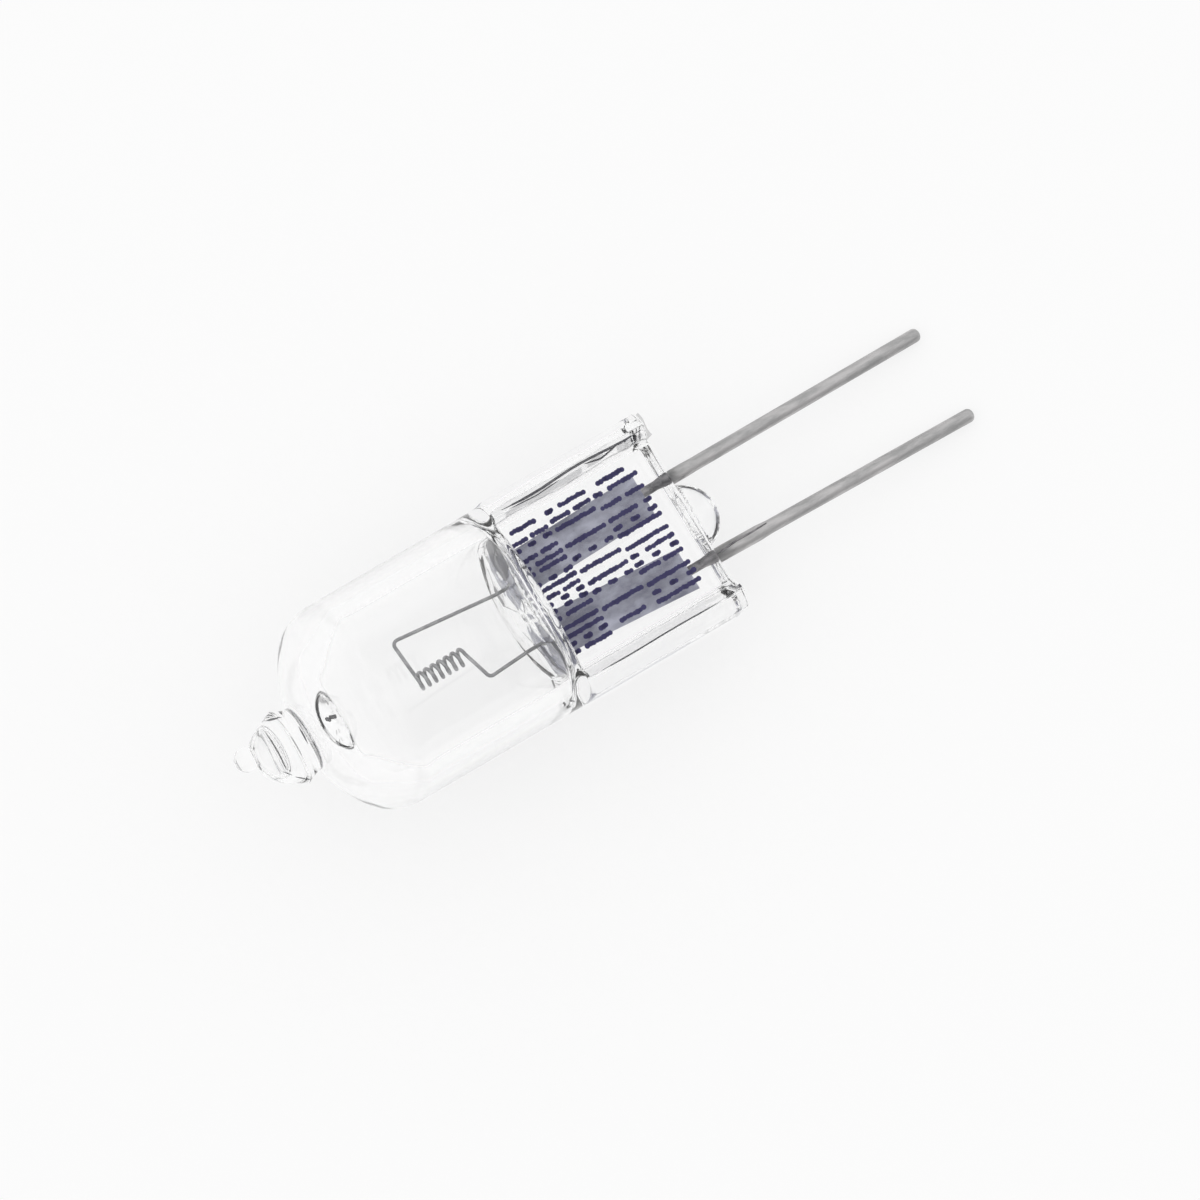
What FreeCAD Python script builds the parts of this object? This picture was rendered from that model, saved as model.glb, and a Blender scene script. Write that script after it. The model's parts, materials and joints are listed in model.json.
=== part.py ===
import FreeCAD, Part
import math
import os
import re
import Sketcher

# Halogen capsule bulb with two pins, millimetres.
#
# The lamp is built in its own frame: X runs along the lamp axis from the dome to the pins, Y runs
# from pin to pin, Z is square to the flat of the pinch, and X = 0 is the glass face that the pins
# leave. At the end all pieces are laid down together, on the belly of the bulb and the pin tips.

SIZES = (
    ("bulb_diameter", 9.4, "outside of the round bulb"),
    ("bulb_wall", 1.2, "wall of the bulb and the dome"),
    ("bulb_straight", 8.3, "from the shoulder to the start of the dome"),
    ("shoulder_round", 1.2, "outer rounding where the bulb ends at the pinch"),
    ("dome_knuckle", 2.3, "outer radius where the dome leaves the straight wall"),
    ("dome_crown", 6.3, "outer radius over the top of the dome"),
    ("floor_thickness", 0.7, "glass between the cavity and the shoulder"),
    ("floor_bevel", 0.4, "slope round the cavity floor"),
    ("seat_radius", 1.93, "inner mark where the exhaust tube was joined"),
    ("seat_depth", 0.6, "how far the mark runs into the dome"),
    ("tip_neck_radius", 1.45, "exhaust tip where it leaves the dome"),
    ("tip_rim_radius", 1.7, "widest part of the exhaust tip"),
    ("tip_rim_rise", 0.6, "from the top of the dome to the widest part"),
    ("tip_height", 2.25, "from the top of the dome to the end of the tip"),
    ("tip_cap_radius", 1.4, "radius of the rounded end of the tip"),
    ("bubble_diameter", 1.16, "bubble in the tip, along the lamp"),
    ("bubble_width", 2.0, "bubble in the tip, across the lamp"),
    ("bubble_rise", 1.3, "from the top of the dome to the middle of the bubble"),
    ("bubble_offset", 0.15, "how far the bubble is off the lamp axis"),
    ("nib_diameter", 1.1, "bead left where the tube was drawn off"),
    ("nib_rise", 2.4, "from the top of the dome to the middle of the bead"),
    ("nib_offset", 0.46, "how far the bead is off the lamp axis"),
    ("pinch_length", 7.7, "from the shoulder to the glass end"),
    ("pinch_width", 9.4, "across the two flanges"),
    ("pinch_height", 5.1, "full height of the flanges"),
    ("pinch_round", 0.9, "long outer corners of the flanges"),
    ("pinch_fade", 0.6, "rounding of the flanges where they run into the bulb"),
    ("web_thickness", 3.0, "flat glass between the flanges"),
    ("flange_foot", 1.3, "thickness of a flange where it meets the web"),
    ("flange_taper_width", 0.55, "how much thinner a flange is at its top"),
    ("recess_round", 0.3, "rounding at the foot of each flange"),
    ("lobe_width", 3.0, "rounded glass between the pins, where it leaves the end"),
    ("lobe_offset", 0.15, "how far its middle is off the lamp axis, towards pin 2"),
    ("lobe_reach", 1.3, "how far that glass stands out"),
    ("lobe_thickness", 2.2, "its thickness"),
    ("lobe_round", 0.8, "rounding of its two long edges"),
    ("seal_shift", 0.2, "how far the foils and pins sit off the lamp axis, towards pin 2"),
    ("lead_spacing", 3.81, "between the two leads, in the glass"),
    ("lead_diameter", 0.42, "rods in the glass"),
    ("weld_length", 0.55, "how much of a rod widens towards its pin"),
    ("weld_diameter", 0.58, "a rod where it is joined to its pin"),
    ("weld_flat", 0.035, "flat pressed on a rod or leg where it is welded to its foil"),
    ("lead_weld", 1.0, "how much of a rod lies on its foil"),
    ("leg_weld", 0.8, "how much of a filament leg lies on its foil"),
    ("foil_start", 1.25, "from the glass end to the foils"),
    ("foil_length", 6.05, "length of the foils"),
    ("foil_width", 1.9, "width of the foils"),
    ("foil_thickness", 0.045, "thickness of the foils"),
    ("foil_spacing", 3.6, "from foil to foil at their outer ends"),
    ("foil_1_slant", 0.2, "how far foil 1 leans in towards the bulb"),
    ("foil_2_slant", 0.4, "how far foil 2 leans in towards the bulb"),
    ("pin_diameter", 0.6, "contact pins"),
    ("pin_1_length", 12.7, "pin 1 outside the glass"),
    ("pin_2_length", 12.9, "pin 2 outside the glass"),
    ("pin_round", 0.24, "rounding of the pin tips"),
    ("root_1_length", 1.4, "how far pin 1 is a little thicker than at its tip"),
    ("root_1_diameter", 0.63, "pin 1 where it leaves the glass"),
    ("root_2_length", 2.8, "how far pin 2 is a little thicker than at its tip"),
    ("root_2_diameter", 0.67, "pin 2 where it leaves the glass"),
    ("root_slope_length", 0.52, "slope from the thick part of a pin to the rest"),
    ("pin_2_splay", 1.1, "lean of pin 2 away from pin 1, degrees"),
    ("wire_diameter", 0.16, "tungsten wire of the filament"),
    ("coil_turns", 7, "turns of the coil"),
    ("coil_pitch", 0.328, "from turn to turn"),
    ("coil_outside", 0.84, "outside of the coil"),
    ("coil_rise", 5.05, "far end of the coil, from the cavity floor"),
    ("coil_offset", 0.36, "how far the coil is off the lamp axis"),
    ("leg_1_root", 1.15, "leg 1 in the glass, off the lamp axis"),
    ("leg_1_far", 1.62, "leg 1 at its bend, off the lamp axis"),
    ("leg_2_root", 1.55, "leg 2 in the glass, off the lamp axis"),
    ("leg_2_far", 1.85, "leg 2 at its bend, off the lamp axis"),
    ("leg_2_rise", 2.25, "bend of leg 2, from the cavity floor"),
    ("leg_free", 0.5, "straight run of each leg past the cavity floor"),
    ("leg_bend", 0.22, "radius of the bends in the filament wire"),
)

doc = FreeCAD.newDocument("halogen_capsule")
sheet = doc.addObject("Spreadsheet::Sheet", "Sizes")
for row, (name, value, note) in enumerate(SIZES, start=1):
    sheet.set(f"A{row}", name)
    sheet.set(f"B{row}", str(value))
    sheet.setAlias(f"B{row}", name)
    sheet.set(f"C{row}", note)
doc.recompute()

NAMES = {name for name, value, note in SIZES}


def formula(text):
    """Write plain size names as references to the sheet."""
    return re.sub(r"[a-z][a-z_0-9]*", lambda word: "Sizes." + word.group() if word.group() in NAMES
                  else word.group(), text)


def number(text):
    """Work out a formula with the sheet's present values."""
    result = sheet.evalExpression(formula(text))
    return float(getattr(result, "Value", result))


def bind(thing, **formulas):
    """Set each property of a feature by a formula."""
    for name, text in formulas.items():
        setattr(thing, name, number(text))
        thing.setExpression(name, formula(text))


# Places along the lamp axis and other values that several pieces share.
BULB_RADIUS = "(bulb_diameter / 2)"
CAVITY_RADIUS = f"({BULB_RADIUS} - bulb_wall)"
SHOULDER_X = "(-pinch_length)"
FLOOR_X = "(-pinch_length - floor_thickness)"
DOME_X = "(-pinch_length - bulb_straight)"
CROWN_STEP = f"sqrt(pow(dome_crown - dome_knuckle, 2) - pow({BULB_RADIUS} - dome_knuckle, 2))"
CROWN_X = f"({DOME_X} + {CROWN_STEP})"
APEX_X = f"({CROWN_X} - dome_crown)"
CROWN_SHARE = f"({CROWN_STEP} / (dome_crown - dome_knuckle))"
KNUCKLE_SHARE = f"(({BULB_RADIUS} - dome_knuckle) / (dome_crown - dome_knuckle))"
FOIL_BOTTOM = "(lead_diameter / 2 - weld_flat)"
FOIL_INNER_X = "(-foil_start - foil_length)"
LEG_Z = "(lead_diameter / 2 - wire_diameter / 2)"
COIL_RADIUS = "((coil_outside - wire_diameter) / 2)"
COIL_Z = f"({LEG_Z} - {COIL_RADIUS})"
WIRE_HALF = "(wire_diameter / 2 * sin(60))"
SIDES = {"1": "1", "2": "-1"}

# The lamp rests on the rounding under its shoulder and on the rounding of the longer pin's tip.
CONTACT_RUN = f"(max(pin_1_length; pin_2_length) - pin_round + pinch_length + shoulder_round)"
CONTACT_DROP = f"(({BULB_RADIUS} - shoulder_round) - (pin_diameter / 2 - pin_round))"
CONTACT_REACH = f"sqrt(pow({CONTACT_RUN}, 2) + pow({CONTACT_DROP}, 2))"
REST_TILT = (f"(atan({CONTACT_DROP} / {CONTACT_RUN})"
             f" + asin((shoulder_round - pin_round) / {CONTACT_REACH}))")
REST_ROLL = (f"atan((pin_1_length - pin_2_length) * tan({REST_TILT})"
             f" / (lead_spacing + pin_2_length * sin(pin_2_splay)))")
# Turns at which the rounding under the shoulder is broken into slopes. The lamp rests on the last one.
SHOULDER_TURNS = ("26", "52", f"(90 deg - {REST_TILT})")


def new_body(label):
    body = doc.addObject("PartDesign::Body", label)
    body.Label = label
    return body


def new_sketch(body, name, plane, offset=None, turn=None):
    """A sketch on an origin plane of its body, moved by three formulas and turned by one."""
    sketch = body.newObject("Sketcher::SketchObject", name)
    support = [item for item in body.Origin.OriginFeatures if item.Role == plane][0]
    sketch.AttachmentSupport = [(support, "")]
    sketch.MapMode = "FlatFace"
    for axis, text in zip("xyz", offset or ()):
        sketch.setExpression(f"AttachmentOffset.Base.{axis}", formula(text))
    if turn:
        sketch.setExpression("AttachmentOffset.Rotation.Angle", formula(turn))
    return sketch


def tie(sketch, kind, *where, size):
    """Add one dimension to a sketch, bound to its formula."""
    index = sketch.addConstraint(Sketcher.Constraint(kind, *where, number(size)))
    sketch.setExpression(f"Constraints[{index}]", formula(size))


def tie_point(sketch, edge, end, point):
    """Tie an end of an edge to a point given by two formulas."""
    if point[0] == "0":
        sketch.addConstraint(Sketcher.Constraint("PointOnObject", edge, end, -2))
    else:
        tie(sketch, "DistanceX", -1, 1, edge, end, size=point[0])
    if point[1] == "0":
        sketch.addConstraint(Sketcher.Constraint("PointOnObject", edge, end, -1))
    else:
        tie(sketch, "DistanceY", -1, 1, edge, end, size=point[1])


def vector(point):
    return FreeCAD.Vector(number(point[0]), number(point[1]), 0)


def arc_between(start, finish, radius):
    """The short arc from start to finish; it turns left where the radius is positive."""
    chord = finish - start
    half = chord.Length / 2
    rise = math.sqrt(max(radius * radius - half * half, 0.0))
    left = FreeCAD.Vector(-chord.y, chord.x, 0).normalize()
    side = 1 if radius > 0 else -1
    centre = (start + finish) / 2 + left * rise * side
    middle = centre - left * abs(radius) * side
    return Part.Arc(start, middle, finish)


def outline(sketch, points, arcs=None):
    """Closed outline through points given by formulas, tied to the sheet.

    arcs gives, for the edge that leaves a point, its radius: positive turns left, negative right.
    """
    arcs = arcs or {}
    edges = []
    for place, point in enumerate(points):
        start = vector(point)
        finish = vector(points[(place + 1) % len(points)])
        if place not in arcs:
            edges.append((sketch.addGeometry(Part.LineSegment(start, finish), False), 1, 2))
            continue
        left_turn = not arcs[place].startswith("-")
        radius = number(arcs[place])
        edge = sketch.addGeometry(arc_between(start, finish, radius), False)
        edges.append((edge, 1, 2) if left_turn else (edge, 2, 1))
    for place, point in enumerate(points):
        edge, first, last = edges[place]
        following, following_first, _ = edges[(place + 1) % len(points)]
        sketch.addConstraint(Sketcher.Constraint("Coincident", edge, last, following, following_first))
        tie_point(sketch, edge, first, point)
        if place in arcs:
            tie(sketch, "Radius", edge, size=arcs[place].lstrip("-"))
    return [edge for edge, first, last in edges]


def circle(sketch, centre, radius):
    edge = sketch.addGeometry(Part.Circle(vector(centre), FreeCAD.Vector(0, 0, 1), number(radius)), False)
    tie_point(sketch, edge, 3, centre)
    tie(sketch, "Radius", edge, size=radius)
    return edge


def wire_section(sketch, across, up):
    """Square section of the filament wire, nearly as large in area as the round wire."""
    outline(sketch, [
        (f"{across} + {WIRE_HALF}", f"{up} + {WIRE_HALF}"),
        (f"{across} - {WIRE_HALF}", f"{up} + {WIRE_HALF}"),
        (f"{across} - {WIRE_HALF}", f"{up} - {WIRE_HALF}"),
        (f"{across} + {WIRE_HALF}", f"{up} - {WIRE_HALF}"),
    ])


def bent_path(sketch, corners, radius):
    """Open path of straight runs with tangent arcs of one radius at its inner corners."""
    guides = []
    for start, finish in zip(corners, corners[1:]):
        guide = sketch.addGeometry(Part.LineSegment(vector(start), vector(finish)), True)
        tie_point(sketch, guide, 1, start)
        if finish is corners[-1]:
            tie_point(sketch, guide, 2, finish)
        if guides:
            sketch.addConstraint(Sketcher.Constraint("Coincident", guides[-1], 2, guide, 1))
        guides.append(guide)
    runs = []
    last_end = vector(corners[0])
    bends = []
    for before, corner, after in zip(corners, corners[1:], corners[2:]):
        here = vector(corner)
        back = (vector(before) - here).normalize()
        ahead = (vector(after) - here).normalize()
        half_angle = back.getAngle(ahead) / 2
        reach = number(radius) / math.tan(half_angle)
        start = here + back * reach
        finish = here + ahead * reach
        centre = here + (back + ahead).normalize() * (number(radius) / math.sin(half_angle))
        middle = centre + (here - centre).normalize() * number(radius)
        runs.append(sketch.addGeometry(Part.LineSegment(last_end, start), False))
        turns_left = (-back).cross(ahead).z > 0
        bends.append((sketch.addGeometry(Part.Arc(start, middle, finish), False), turns_left))
        last_end = finish
    runs.append(sketch.addGeometry(Part.LineSegment(last_end, vector(corners[-1])), False))
    sketch.addConstraint(Sketcher.Constraint("Coincident", runs[0], 1, guides[0], 1))
    sketch.addConstraint(Sketcher.Constraint("Coincident", runs[-1], 2, guides[-1], 2))
    for place, (bend, turns_left) in enumerate(bends):
        first, last = (1, 2) if turns_left else (2, 1)
        sketch.addConstraint(Sketcher.Constraint("PointOnObject", runs[place], 2, guides[place]))
        sketch.addConstraint(Sketcher.Constraint("PointOnObject", runs[place + 1], 1, guides[place + 1]))
        sketch.addConstraint(Sketcher.Constraint("Tangent", runs[place], 2, bend, first))
        sketch.addConstraint(Sketcher.Constraint("Tangent", bend, last, runs[place + 1], 1))
        tie(sketch, "Radius", bend, size=radius)
    return runs


def pad(body, name, sketch, length, back=False, both=False):
    feature = body.newObject("PartDesign::Pad", name)
    feature.Profile = sketch
    feature.Reversed = back
    if both:
        feature.SideType = "Symmetric"
    bind(feature, Length=length)
    return feature


def pocket(body, name, sketch, length, back=False, both=False):
    """Cut a pocket, and stop if it takes nothing away."""
    doc.recompute()
    before = body.Shape.Volume
    feature = body.newObject("PartDesign::Pocket", name)
    feature.Profile = sketch
    feature.Reversed = back
    if both:
        feature.SideType = "Symmetric"
    bind(feature, Length=length)
    doc.recompute()
    if body.Shape.Volume > before - 1e-6:
        raise RuntimeError(f"{name} cuts nothing")
    return feature


def turned(body, name, sketch, kind="PartDesign::Revolution"):
    """Turn a profile about the sketch's own horizontal axis."""
    feature = body.newObject(kind, name)
    feature.Profile = sketch
    feature.ReferenceAxis = (sketch, ["H_Axis"])
    feature.Angle = 360
    return feature


def round_edges(body, name, radius, wanted):
    """Round the edges of the body's shape whose middle point passes the test."""
    doc.recompute()
    base = body.Tip
    names = []
    for index, edge in enumerate(base.Shape.Edges, start=1):
        low, high = edge.ParameterRange
        if wanted(edge.valueAt((low + high) / 2)):
            names.append(f"Edge{index}")
    feature = body.newObject("PartDesign::Fillet", name)
    feature.Base = (base, names)
    bind(feature, Radius=radius)
    return feature


def pinch_block(body):
    """The pressed end: a block with long rounded corners, hollowed on both faces to an I section."""
    half_width = "(pinch_width / 2)"
    half_height = "(pinch_height / 2)"
    inner_width = f"({half_width} - pinch_round)"
    inner_height = f"({half_height} - pinch_round)"
    section = new_sketch(body, "pinch_section", "YZ_Plane")
    outline(section, [
        (f"-{inner_width}", f"-{half_height}"), (inner_width, f"-{half_height}"),
        (half_width, f"-{inner_height}"), (half_width, inner_height),
        (inner_width, half_height), (f"-{inner_width}", half_height),
        (f"-{half_width}", inner_height), (f"-{half_width}", f"-{inner_height}"),
    ], {1: "pinch_round", 3: "pinch_round", 5: "pinch_round", 7: "pinch_round"})
    pad(body, "pinch", section, "pinch_length + shoulder_round", back=True)
    far = -number("pinch_length + shoulder_round")
    round_edges(body, "pinch_end_rounding", "pinch_fade",
                lambda point: abs(point.x - far) < 1e-4)

    foot = f"({half_width} - flange_foot)"
    top = f"({foot} + flange_taper_width * 2)"
    high = f"(web_thickness / 2 + ({half_height} - web_thickness / 2) * 2)"
    for name, side in (("upper", ""), ("lower", "-")):
        recess = new_sketch(body, f"{name}_recess_section", "YZ_Plane")
        corners = [
            (f"-{foot} + recess_round", f"{side}web_thickness / 2"),
            (f"{foot} - recess_round", f"{side}web_thickness / 2"),
            (foot, f"{side}(web_thickness / 2 + recess_round)"),
            (top, f"{side}{high}"), (f"-{top}", f"{side}{high}"),
            (f"-{foot}", f"{side}(web_thickness / 2 + recess_round)"),
        ]
        turn = "recess_round" if side == "" else "-recess_round"
        outline(recess, corners, {1: turn, 5: turn})
        pocket(body, f"{name}_recess", recess, "pinch_length + shoulder_round")


def bulb_outside(body):
    """Round bulb, domed end and exhaust tip, turned about the lamp axis."""
    profile = new_sketch(body, "bulb_profile", "XY_Plane")
    neck_x = f"({CROWN_X} - sqrt(pow(dome_crown, 2) - pow(tip_neck_radius, 2)))"
    cap_x = f"({APEX_X} - tip_height + tip_cap_radius)"
    rim_run = "(tip_rim_rise - tip_height + tip_cap_radius)"
    rim_reach = f"sqrt(pow({rim_run}, 2) + pow(tip_rim_radius, 2))"
    cap_angle = f"(atan2(tip_rim_radius; {rim_run}) - acos(tip_cap_radius / {rim_reach}))"
    slopes = [(f"{SHOULDER_X} - shoulder_round * (1 - cos({angle}))",
               f"{BULB_RADIUS} - shoulder_round * (1 - sin({angle}))") for angle in SHOULDER_TURNS]
    outline(profile, [
        (SHOULDER_X, "0"),
        (SHOULDER_X, f"{BULB_RADIUS} - shoulder_round"),
        *slopes,
        (f"{SHOULDER_X} - shoulder_round", BULB_RADIUS),
        (DOME_X, BULB_RADIUS),
        (f"{CROWN_X} - dome_crown * {CROWN_SHARE}", f"dome_crown * {KNUCKLE_SHARE}"),
        (neck_x, "tip_neck_radius"),
        (f"{APEX_X} - tip_rim_rise", "tip_rim_radius"),
        (f"{cap_x} - tip_cap_radius * cos({cap_angle})", f"tip_cap_radius * sin({cap_angle})"),
        (f"{APEX_X} - tip_height", "0"),
    ], {6: "dome_knuckle", 7: "dome_crown", 10: "tip_cap_radius"})
    turned(body, "bulb", profile)


def nib(body):
    """Round bead left on the tip where the exhaust tube was drawn off."""
    radius = "(nib_diameter / 2)"
    profile = new_sketch(body, "nib_profile", "XY_Plane", (f"{APEX_X} - nib_rise", "nib_offset", "0"))
    outline(profile, [(f"-{radius}", "0"), ("0", radius), (radius, "0")],
            {0: f"-{radius}", 1: f"-{radius}"})
    turned(body, "nib", profile)


def bubble(body):
    """Oblong bubble across the tip."""
    radius = "(bubble_diameter / 2)"
    half = "(bubble_width / 2)"
    profile = new_sketch(body, "bubble_profile", "XY_Plane",
                         (f"{APEX_X} - bubble_rise", "bubble_offset", "0"), "90")
    outline(profile, [(f"-{half}", "0"), (f"{radius} - {half}", radius), (f"{half} - {radius}", radius),
                      (half, "0")], {0: f"-{radius}", 2: f"-{radius}"})
    turned(body, "bubble", profile, "PartDesign::Groove")


def cavity(body):
    """The hollow of the bulb, with the mark of the exhaust tube in its dome."""
    profile = new_sketch(body, "cavity_profile", "XY_Plane")
    crown = "(dome_crown - bulb_wall)"
    seat_x = f"({CROWN_X} - sqrt(pow({crown}, 2) - pow(seat_radius, 2)))"
    outline(profile, [
        (FLOOR_X, "0"),
        (FLOOR_X, f"{CAVITY_RADIUS} - floor_bevel"),
        (f"{FLOOR_X} - floor_bevel", CAVITY_RADIUS),
        (DOME_X, CAVITY_RADIUS),
        (f"{CROWN_X} - {crown} * {CROWN_SHARE}", f"{crown} * {KNUCKLE_SHARE}"),
        (seat_x, "seat_radius"),
        (f"{seat_x} - seat_depth", "0"),
    ])
    turned(body, "cavity", profile, "PartDesign::Groove")


def end_lobe(body):
    """Rounded glass that was pressed out between the pins."""
    shape = new_sketch(body, "lobe_outline", "XY_Plane")
    inside = "(-lobe_round)"
    low = "(-lobe_offset - lobe_width / 2)"
    high = f"({low} + lobe_width)"
    outline(shape, [
        (inside, low), ("0", low), ("0", high), (inside, high),
    ], {1: "(pow(lobe_width / 2, 2) + pow(lobe_reach, 2)) / (2 * lobe_reach)"})
    pad(body, "lobe", shape, "lobe_thickness", both=True)
    reach = number("lobe_reach")
    half = number("lobe_thickness") / 2
    round_edges(body, "lobe_rounding", "lobe_round",
                lambda point: abs(point.x - reach) < 1e-3 and abs(abs(point.z) - half) < 1e-4)


def lead_y(side):
    return f"({SIDES[side]} * lead_spacing / 2 - seal_shift)"


def foil_corners(side):
    """Outline of a foil, seen square to the pinch."""
    outer = f"({SIDES[side]} * foil_spacing / 2 - seal_shift)"
    inner = f"({outer} - {SIDES[side]} * foil_{side}_slant)"
    return [
        ("-foil_start", f"{outer} - foil_width / 2"), ("-foil_start", f"{outer} + foil_width / 2"),
        (FOIL_INNER_X, f"{inner} + foil_width / 2"), (FOIL_INNER_X, f"{inner} - foil_width / 2"),
    ]


def lead_profile(body, name, side):
    """Half outline of a rod in the glass, which widens towards its pin."""
    profile = new_sketch(body, name, "XY_Plane", ("0", lead_y(side), "0"))
    inner_end = "(-foil_start - lead_weld)"
    outline(profile, [
        (inner_end, "0"), ("0", "0"), ("0", "weld_diameter / 2"), ("-weld_length", "lead_diameter / 2"),
        (inner_end, "lead_diameter / 2"),
    ])
    return profile


def leg_root_y(side):
    return f"({SIDES[side]} * leg_{side}_root)"


def envelope():
    body = new_body("envelope")
    pinch_block(body)
    bulb_outside(body)
    nib(body)
    end_lobe(body)
    cavity(body)
    bubble(body)
    for side in SIDES:
        slot = new_sketch(body, f"foil_slot_{side}", "XY_Plane", ("0", "0", FOIL_BOTTOM))
        outline(slot, foil_corners(side))
        pocket(body, f"foil_room_{side}", slot, "foil_thickness", back=True)
        turned(body, f"lead_room_{side}", lead_profile(body, f"lead_hole_{side}", side),
               "PartDesign::Groove")
        leg_hole = new_sketch(body, f"leg_hole_{side}", "YZ_Plane", ("0", "0", f"{FOIL_INNER_X} + leg_weld"))
        wire_section(leg_hole, leg_root_y(side), LEG_Z)
        pocket(body, f"leg_room_{side}", leg_hole,
               f"{FOIL_INNER_X} + leg_weld - {FLOOR_X} + floor_bevel")
    return body


def foil(side):
    body = new_body(f"foil_{side}")
    shape = new_sketch(body, f"foil_{side}_outline", "XY_Plane", ("0", "0", FOIL_BOTTOM))
    outline(shape, foil_corners(side))
    pad(body, f"foil_{side}_strip", shape, "foil_thickness")
    return body


def weld_flats(body, name, start, finish, middle_y, width):
    """Flatten the top of a rod or leg where it lies under its foil."""
    box = new_sketch(body, f"{name}_outline", "XY_Plane", ("0", "0", FOIL_BOTTOM))
    outline(box, [
        (start, f"{middle_y} - {width}"), (finish, f"{middle_y} - {width}"),
        (finish, f"{middle_y} + {width}"), (start, f"{middle_y} + {width}"),
    ])
    pocket(body, name, box, width, back=True)


def inner_lead(side):
    body = new_body(f"inner_lead_{side}")
    turned(body, f"inner_lead_{side}_rod", lead_profile(body, f"inner_lead_{side}_profile", side))
    weld_flats(body, f"inner_lead_{side}_flat", "-foil_start - lead_weld - lead_diameter",
               "-foil_start", lead_y(side), "lead_diameter")
    return body


def contact_pin(side):
    """Round pin with a rounded tip, thicker towards the glass and cut square there."""
    body = new_body(f"contact_pin_{side}")
    lean = "-pin_2_splay" if side == "2" else None
    profile = new_sketch(body, f"contact_pin_{side}_profile", "XY_Plane", ("0", lead_y(side), "0"), lean)
    length = f"pin_{side}_length"
    start = "(-pin_diameter / 2)" if lean else "0"
    outline(profile, [
        (start, "0"), (length, "0"), (length, "pin_diameter / 2 - pin_round"),
        (f"{length} - pin_round", "pin_diameter / 2"), (f"root_{side}_length", "pin_diameter / 2"),
        (f"root_{side}_length - root_slope_length", f"root_{side}_diameter / 2"),
        (start, f"root_{side}_diameter / 2"),
    ], {2: "pin_round"})
    turned(body, f"contact_pin_{side}_rod", profile)
    if lean:
        trim = new_sketch(body, f"contact_pin_{side}_trim", "YZ_Plane")
        circle(trim, (lead_y(side), "0"), "pin_diameter")
        pocket(body, f"contact_pin_{side}_root", trim, "pin_diameter * 2")
    return body


def filament():
    """One wire: leg, coil and leg. Both legs lie in the plane of the coil's top."""
    body = new_body("filament")
    coil_start = f"({FLOOR_X} - coil_rise)"
    coil_end = f"({coil_start} + coil_turns * coil_pitch)"
    lean = f"(coil_pitch / (2 * pi * {COIL_RADIUS}))"

    turn_section = new_sketch(body, "turn_section", "XZ_Plane", ("0", COIL_Z, "coil_offset"))
    wire_section(turn_section, coil_start, COIL_RADIUS)
    doc.recompute()
    coil = body.newObject("PartDesign::AdditiveHelix", "coil")
    coil.Profile = turn_section
    coil.ReferenceAxis = (turn_section, ["H_Axis"])
    coil.Mode = "pitch-turns-angle"
    bind(coil, Pitch="coil_pitch", Turns="coil_turns")
    coil.LeftHanded = False
    doc.recompute()

    leg_end_x = f"({FOIL_INNER_X} + leg_weld)"
    straight_x = f"({FLOOR_X} - leg_free)"
    routes = {
        "1": [(coil_start, "-coil_offset"),
              (f"{coil_start} - (leg_1_far + coil_offset) * {lean}", "leg_1_far"),
              (straight_x, "leg_1_root"), (leg_end_x, "leg_1_root")],
        "2": [(coil_end, "-coil_offset"), (f"({FLOOR_X} - leg_2_rise)", "-leg_2_far"),
              (straight_x, "-leg_2_root"), (leg_end_x, "-leg_2_root")],
    }
    for side, corners in routes.items():
        path = new_sketch(body, f"leg_{side}_path", "XY_Plane", ("0", "0", LEG_Z))
        runs = bent_path(path, corners, "leg_bend")
        section = new_sketch(body, f"leg_{side}_section", "XZ_Plane", ("0", LEG_Z, "coil_offset"))
        wire_section(section, corners[0][0], "0")
        doc.recompute()
        leg = body.newObject("PartDesign::AdditivePipe", f"leg_{side}")
        leg.Profile = section
        leg.Spine = path
        doc.recompute()
        weld_flats(body, f"leg_{side}_flat", FOIL_INNER_X, f"{leg_end_x} + wire_diameter",
                   leg_root_y(side), "wire_diameter")
    return body


pieces = [envelope(), filament()]
for side in SIDES:
    pieces += [foil(side), inner_lead(side), contact_pin(side)]
doc.recompute()

tilt = FreeCAD.Rotation(FreeCAD.Vector(0, 1, 0), number(REST_TILT))
tilt = tilt * FreeCAD.Rotation(FreeCAD.Vector(1, 0, 0), number(REST_ROLL))
tilted = Part.makeCompound([piece.Shape.copy() for piece in pieces])
tilted.Placement = FreeCAD.Placement(FreeCAD.Vector(), tilt)
box = tilted.optimalBoundingBox(False, False)
rest = FreeCAD.Placement(FreeCAD.Vector(-box.Center.x, -box.Center.y, -box.ZMin), tilt)
for piece in pieces:
    piece.Placement = rest
doc.recompute()

faults = [item.Name for item in doc.Objects if {"Invalid", "Error"} & set(item.State)]
faults += [piece.Label for piece in pieces
           if piece.Shape.isNull() or not piece.Shape.isValid() or len(piece.Shape.Solids) != 1]
if faults:
    raise RuntimeError("failed: " + ", ".join(faults))

os.makedirs("parts", exist_ok=True)
for piece in pieces:
    piece.Shape.exportStep(f"parts/{piece.Label}.step")
    print(piece.Label, round(piece.Shape.Volume, 4), len(piece.Shape.Faces), "faces")
print("tilt", round(number(REST_TILT), 3), "roll", round(number(REST_ROLL), 3))
print("length", round(box.XLength, 2))
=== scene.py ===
import json
import math
import random
import bmesh
import bpy
import numpy as np
from mathutils import Matrix, Vector, noise

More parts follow.
